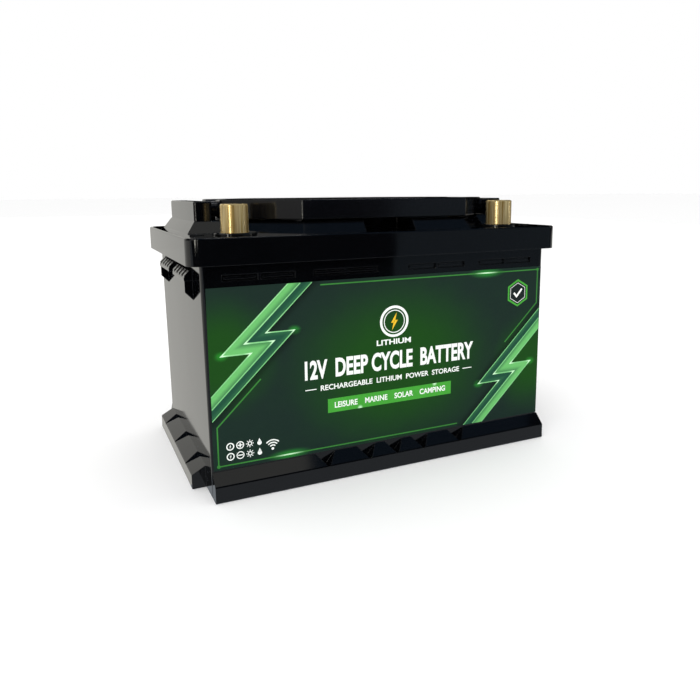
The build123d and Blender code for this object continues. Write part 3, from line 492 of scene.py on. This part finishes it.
corner_line = [(-96, 76), (-125.3, 47.5), (-125.3, 21.5), (54, 21.5)]
printed("border_lines", [q for quad in stroke(corner_line, 0.9) for q in halves(quad)], border_ink, 0.03)
corner_dot = circle(-125.3, 21.5, 1.2, 20)
printed("border_dots", halves(corner_dot), border_ink, 0.05)

lettering("rating_words", "12V  DEEP CYCLE  BATTERY", -66, 67, 71.3, 12.2, white_ink, 0.6)
lettering("kind_words", "RECHARGEABLE  LITHIUM  POWER  STORAGE", -55, 55, 62.3, 3.6, white_ink, 0.1)
printed("kind_rules", [[(-66, 63.5), (-58, 63.5), (-58, 64.1), (-66, 64.1)],
                       [(58, 63.5), (66, 63.5), (66, 64.1), (58, 64.1)]], white_ink, 0.04)
printed("banner", [[(-50, 45.8), (48, 45.8), (48, 55.6), (-50, 55.6)]], banner_ink, 0.03)
lettering("banner_words", "LEISURE    MARINE    SOLAR    CAMPING", -45, 43, 48.9, 3.9, white_ink, 0.12, 0.06)
lettering("emblem_words", "LITHIUM", -13, 14, 88.8, 3.7, white_ink, 0.14)


def ring(u, v, outer, inner, count=40, start=0.0):
    """Flat ring as quads."""
    big, small = circle(u, v, outer, count, start), circle(u, v, inner, count, start)
    return [[big[i], big[(i + 1) % count], small[(i + 1) % count], small[i]] for i in range(count)]


def bolt(u, v, height):
    """Plain lightning bolt in two convex halves about a point."""
    k = height / 2
    shape = [(0.30, 1.0), (-0.42, -0.14), (0.02, -0.14), (0.12, 0.20)]
    upper = [(u + a * k, v + b * k) for a, b in shape]
    lower = [(u - a * k, v - b * k) for a, b in shape]
    return [upper, lower]


# round emblem with a bolt, over the rating
EMBLEM = (0.8, 105.0)
printed("emblem_ring", ring(*EMBLEM, 11.2, 9.4, 56), white_ink, 0.04)
printed("emblem_rim", ring(*EMBLEM, 8.2, 7.6, 48), white_ink, 0.04)
printed("emblem_bolt", bolt(*EMBLEM, 12.5), yellow_ink, 0.05)

# six-sided badge with a tick, in the upper right corner
BADGE = (107.0, 117.4)
printed("badge_ground", [circle(*BADGE, 9.6, 6, pi / 6)], dark_ink, 0.03)
printed("badge_rim", ring(*BADGE, 10.6, 9.0, 6, pi / 6), banner_ink, 0.045)
printed("badge_line", ring(*BADGE, 7.9, 7.5, 6, pi / 6), white_ink, 0.045)
tick = [(BADGE[0] - 3.6, BADGE[1] + 0.2), (BADGE[0] - 1.0, BADGE[1] - 2.6), (BADGE[0] + 3.8, BADGE[1] + 3.0)]
printed("badge_tick", stroke(tick, 1.5), white_ink, 0.045)

# plain pictograms in the lower left corner
icons = []
ICON = 3.0
icon_places = [(-117.5 + 6.4 * i, v) for v in (33.8, 27.0) for i in range(4)]
for index, (u, v) in enumerate(icon_places):
    if index % 4 == 0:
        icons += ring(u, v, ICON * 0.86, ICON * 0.62, 24) + bolt(u, v, 3.0)
    elif index % 4 == 1:
        icons += stroke([(u - 1.6, v), (u + 1.6, v)], 0.7)
        if index < 4:
            icons += stroke([(u, v + 0.35), (u, v + 1.6)], 0.7) + stroke([(u, v - 1.6), (u, v - 0.35)], 0.7)
        icons += ring(u, v, ICON * 0.86, ICON * 0.66, 24)
    elif index % 4 == 2:
        icons += ring(u, v, 1.5, 0.9, 20)
        for turn in range(8):
            a = 2 * pi * turn / 8
            icons += stroke([(u + 1.8 * cos(a), v + 1.8 * sin(a)), (u + 2.6 * cos(a), v + 2.6 * sin(a))], 0.5)
    else:
        icons += [circle(u, v - 0.6, 1.5, 20), [(u - 1.3, v), (u, v + 2.6), (u + 1.3, v)]]
printed("pictograms", icons, white_ink, 0.04)

# sign for a wireless link: a dot with three arcs over it
waves = [circle(-89.5, 27.6, 0.9, 20)]
for radius in (2.4, 4.2, 6.0):
    arc = [(-89.5 + radius * cos(a), 27.6 + radius * sin(a))
           for a in [radians(45 + 90 * i / 14) for i in range(15)]]
    waves += stroke(arc, 0.8)
printed("wireless_sign", waves, white_ink, 0.04)


# ---------------------------------------------------------------- floor, light and camera
def stage_plane(name, width, depth, place, facing, material):
    """Rectangle of a given size, centred at a place and facing a direction."""
    mesh = bmesh.new()
    bmesh.ops.create_grid(mesh, x_segments=1, y_segments=1, size=0.5)
    data = bpy.data.meshes.new(name)
    mesh.to_mesh(data)
    mesh.free()
    data.materials.append(material)
    plane = bpy.data.objects.new(name, data)
    turn = Vector(facing).to_track_quat("Z", "Y").to_matrix().to_4x4()
    plane.matrix_world = Matrix.Translation(place) @ turn @ Matrix.Diagonal((width, depth, 1, 1))
    bpy.context.scene.collection.objects.link(plane)
    return plane


def glow(name, colour, strength):
    material = bpy.data.materials.new(name)
    material.use_nodes = True
    tree = material.node_tree
    tree.nodes.clear()
    light = tree.nodes.new("ShaderNodeEmission")
    light.inputs["Color"].default_value = (*colour, 1)
    light.inputs["Strength"].default_value = strength
    output = tree.nodes.new("ShaderNodeOutputMaterial")
    tree.links.new(light.outputs[0], output.inputs["Surface"])
    return material


def card(name, width, depth, place, aim, colour, strength):
    """Glowing card that is seen only in reflections."""
    facing = Vector(aim) - Vector(place)
    made = stage_plane(name, width, depth, place, facing, glow(name, colour, strength))
    made.visible_camera = False
    made.visible_diffuse = False
    made.visible_shadow = False
    return made


floor_paint = Shader("floor_paint", Base_Color=(0.97, 0.97, 0.97, 1), Roughness=0.8)
floor = stage_plane("floor", 60, 60, (0, 0, -0.0002), (0, 0, 1), floor_paint.material)
floor.visible_glossy = False

world = bpy.data.worlds.new("studio")
bpy.context.scene.world = world
world.use_nodes = True
world.node_tree.nodes["Background"].inputs["Color"].default_value = (1.0, 1.0, 1.0, 1)
world.node_tree.nodes["Background"].inputs["Strength"].default_value = 1.0
world.cycles_visibility.glossy = False

middle = (0, 0, 0.1)
card("rear_floor_card", 6.0, 6.0, (0, 2.95, -0.0001), (0, 2.95, 1), (1.0, 0.99, 0.93), 0.72)
card("front_floor_card", 6.0, 0.5, (0, -0.30, -0.0001), (0, -0.30, 1), (0.90, 0.97, 1.05), 0.42)
card("rear_left_card", 2.1, 1.6, (-0.95, 1.95, 0.78), (-0.95, 0, 0.78), (1.0, 0.99, 0.93), 0.70)
card("rear_upper_card", 2.4, 0.8, (0.2, 2.4, 1.9), middle, (1.0, 0.99, 0.95), 0.5)
card("upper_left_card", 0.9, 0.9, (-0.86, 0.66, 1.9), middle, (1.0, 0.99, 0.95), 0.80)
card("left_strip", 0.17, 1.3, (-1.22, -0.95, 0.65), middle, (1.0, 0.98, 0.86), 9.0)
card("corner_strip", 0.12, 1.3, (-0.92, -1.20, 0.65), middle, (1.0, 0.98, 0.90), 2.5)
card("left_card", 0.9, 1.6, (-1.6, -0.40, 0.8), middle, (1.0, 0.98, 0.94), 0.4)
card("ceiling_card", 4.0, 4.0, (0, 0, 2.4), middle, (0.35, 0.62, 1.0), 0.12)
card("upper_front_card", 0.66, 0.7, (0.42, -0.85, 2.39), (0.42, -0.85, 0), (1.0, 1.0, 0.95), 0.6)
card("overhead_strip", 0.10, 1.8, (0.7, 0.9, 2.0), middle, (1.0, 1.0, 1.0), 5.0)
card("right_strip", 0.10, 1.0, (1.5, -0.4, 0.6), middle, (1.0, 0.98, 0.94), 4.0)
card("right_front_card", 2.2, 1.6, (1.79, -1.42, 0.4), (1.79, 0, 0.4), (0.72, 0.92, 1.10), 0.18)


def lamp(name, place, size, power, colour=(1, 1, 1)):
    data = bpy.data.lights.new(name, "AREA")
    data.energy = power
    data.size = size
    data.color = colour
    light = bpy.data.objects.new(name, data)
    light.location = place
    light.rotation_mode = "QUATERNION"
    light.rotation_quaternion = (Vector(place) - Vector(middle)).to_track_quat("Z", "Y")
    light.visible_camera = False
    light.visible_glossy = False
    bpy.context.scene.collection.objects.link(light)


lamp("key", (-1.3, -1.5, 1.8), 1.6, 12)

sun_data = bpy.data.lights.new("sun", "SUN")
sun_data.energy = 0.55
sun_data.angle = radians(50)
sun = bpy.data.objects.new("sun", sun_data)
sun.rotation_euler = (radians(32), radians(-22), 0)
sun.visible_camera = False
sun.visible_glossy = False
bpy.context.scene.collection.objects.link(sun)

bpy.context.scene.view_settings.view_transform = "Standard"

camera_data = bpy.data.cameras.new("camera")
camera_data.sensor_width = 36
camera_data.lens = 34.092
camera_data.shift_x = -0.04286
camera_data.shift_y = -0.07143
camera_data.clip_start = 0.01
camera = bpy.data.objects.new("camera", camera_data)
yaw, pitch, roll = radians(-25.937), radians(-9.235), radians(0.41)
camera.matrix_world = (
    Matrix.Translation((-0.2075, -0.48635, 0.19425))
    @ Matrix.Rotation(yaw, 4, "Z")
    @ Matrix.Rotation(pitch, 4, "X")
    @ Matrix.Rotation(roll, 4, "Y")
    @ Matrix.Rotation(radians(90), 4, "X")
)
bpy.context.scene.collection.objects.link(camera)
bpy.context.scene.camera = camera

bpy.context.view_layer.update()
